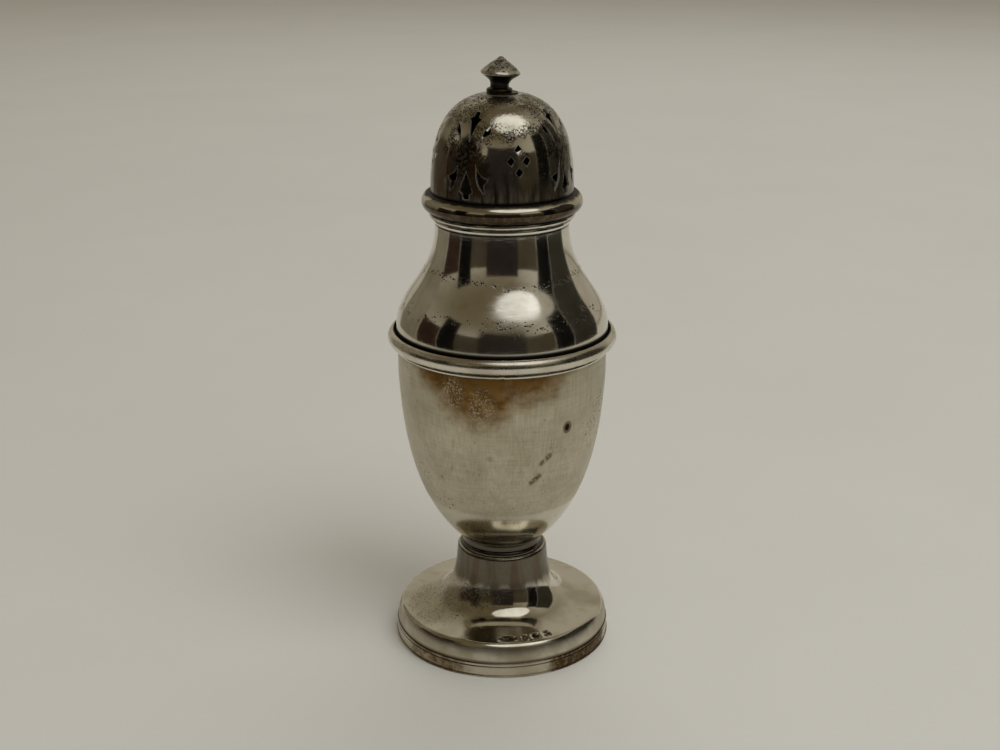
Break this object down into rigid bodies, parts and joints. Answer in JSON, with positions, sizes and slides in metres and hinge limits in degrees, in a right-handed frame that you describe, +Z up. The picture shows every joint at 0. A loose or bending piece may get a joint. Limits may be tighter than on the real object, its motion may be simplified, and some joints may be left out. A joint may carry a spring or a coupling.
{
  "type": "sugar caster",
  "caption": "Vase-shaped silver sugar caster on a spreading foot, with a lift-off cover, a pierced dome and a mushroom finial, for shaking sugar at table.",
  "frame": {"origin": "middle of the foot's underside, on the table", "axes": "+Z up along the caster's axis of revolution; the picture's camera stands on the -Y side, with +X to its right"},
  "size_m": [0.06, 0.06, 0.158],
  "materials": {
    "satin_silver": "dull satin silver with amber tarnish under the rim",
    "bright_silver": "mirror-bright polished silver with dark pits",
    "foot_silver": "polished silver with pitting",
    "foot_band_silver": "polished silver with brown tarnish in patches",
    "tarnished_silver": "pitted and darkly tarnished silver"
  },
  "bodies": {
    "body": {"foot_rim_band": "foot_band_silver", "foot_shell": "foot_silver", "stem_collar": "foot_silver", "bowl": "satin_silver", "girdle_reed": "bright_silver", "bowl_rim": "bright_silver"},
    "cover": {"cover_bezel": "satin_silver", "shoulder": "bright_silver", "neck_wire": "bright_silver", "neck_ring": "bright_silver", "dome_girdle": "bright_silver", "dome": "tarnished_silver", "finial_collar": "tarnished_silver", "finial": "tarnished_silver"}
  },
  "joints": [
    {"name": "cover_lift", "type": "slide", "parent": "body", "child": "cover", "axis": [0, 0, 1], "range_m": [0, 0.08]}
  ]
}
